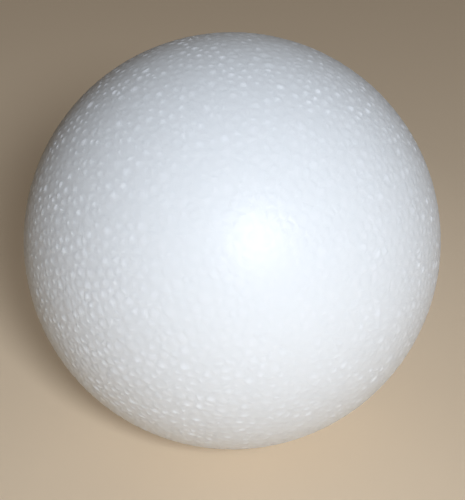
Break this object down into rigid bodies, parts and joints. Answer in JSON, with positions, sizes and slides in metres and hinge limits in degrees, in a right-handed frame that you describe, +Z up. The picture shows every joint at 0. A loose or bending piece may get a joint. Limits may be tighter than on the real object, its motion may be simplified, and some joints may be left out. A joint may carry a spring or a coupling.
{
  "type": "polystyrene ball",
  "caption": "Solid white ball moulded from fused expanded polystyrene beads, a light round core for craft work, models and display.",
  "frame": {"origin": "centre of the ball", "axes": "+Z up; the ball is alike in every direction, so X and Y are free"},
  "size_m": [0.1, 0.1, 0.1],
  "materials": {
    "bead_foam": "satin white bead foam, fused beads about 3 mm across with fine grooves and small pits between them"
  },
  "bodies": {
    "root": {"ball": "bead_foam"}
  },
  "joints": []
}
